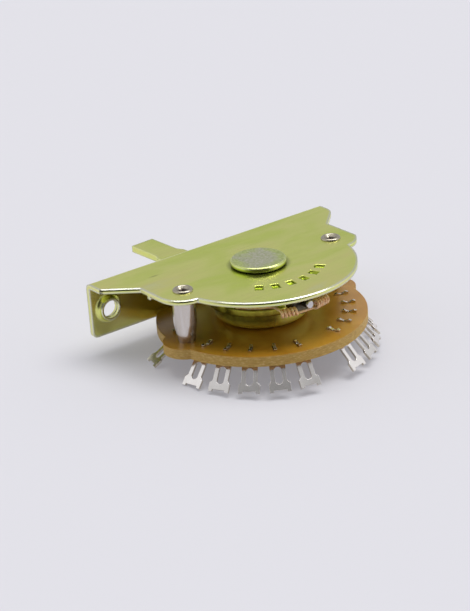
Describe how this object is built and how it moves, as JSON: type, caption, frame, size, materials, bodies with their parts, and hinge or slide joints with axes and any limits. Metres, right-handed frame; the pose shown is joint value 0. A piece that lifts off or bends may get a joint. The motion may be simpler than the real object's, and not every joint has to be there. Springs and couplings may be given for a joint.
{
  "type": "lever selector switch",
  "caption": "Open-frame lever switch with a folded steel frame, a riveted pivot, a roller detent and a ring of fanned solder lugs on a laminate wafer.",
  "frame": {"origin": "middle of the line through the two mounting holes, on the outer face of the flange", "axes": "+X along the flange, +Y out of the mounting face the way the lever leaves, +Z along the pivot axis towards its riveted head"},
  "size_m": [0.0469, 0.0493, 0.0149],
  "materials": {
    "zinc_steel": "yellow-green zinc chromate plating with a faint sheen of pink and blue",
    "nickel": "bright nickel plating, drawn",
    "roller_steel": "turned and hardened steel, oiled",
    "laminate": "amber-brown phenolic paper laminate, satin, with sheared edges",
    "nylon": "off-white moulded nylon",
    "tinned_brass": "tin plated, semi-bright",
    "contact_brass": "silver-washed brass, bright",
    "spring_bronze": "drawn phosphor bronze wire"
  },
  "bodies": {
    "frame_body": {"frame": "zinc_steel", "standoff_left": "nickel", "standoff_right": "nickel", "wafer": "laminate", "terminal_a1": "tinned_brass", "terminal_a2": "tinned_brass", "terminal_a3": "tinned_brass", "terminal_a4": "tinned_brass", "terminal_a5": "tinned_brass", "common_a": "tinned_brass", "terminal_b1": "tinned_brass", "terminal_b2": "tinned_brass", "terminal_b3": "tinned_brass", "terminal_b4": "tinned_brass", "terminal_b5": "tinned_brass", "common_b": "tinned_brass"},
    "lever_body": {"pivot_shaft": "zinc_steel", "lever": "zinc_steel", "detent_cup": "zinc_steel", "detent_spring": "spring_bronze", "rotor": "nylon", "rotor_blade_a": "contact_brass", "rotor_blade_b": "contact_brass"},
    "roller_body": {"detent_roller": "roller_steel"}
  },
  "joints": [
    {"name": "lever_turn", "type": "hinge", "parent": "frame_body", "child": "lever_body", "pos_m": [0, -0.01345, 0.005], "axis": [0, 0, 1], "range_deg": [-30, 30]},
    {"name": "roller_roll", "type": "hinge", "parent": "lever_body", "child": "roller_body", "pos_m": [0, -0.0233, 0.00176], "axis": [0, -1, 0], "range_deg": [-150, 150]}
  ],
  "couplings": [
    {"joint": "roller_roll", "follows": "lever_turn", "ratio": 4.925}
  ]
}
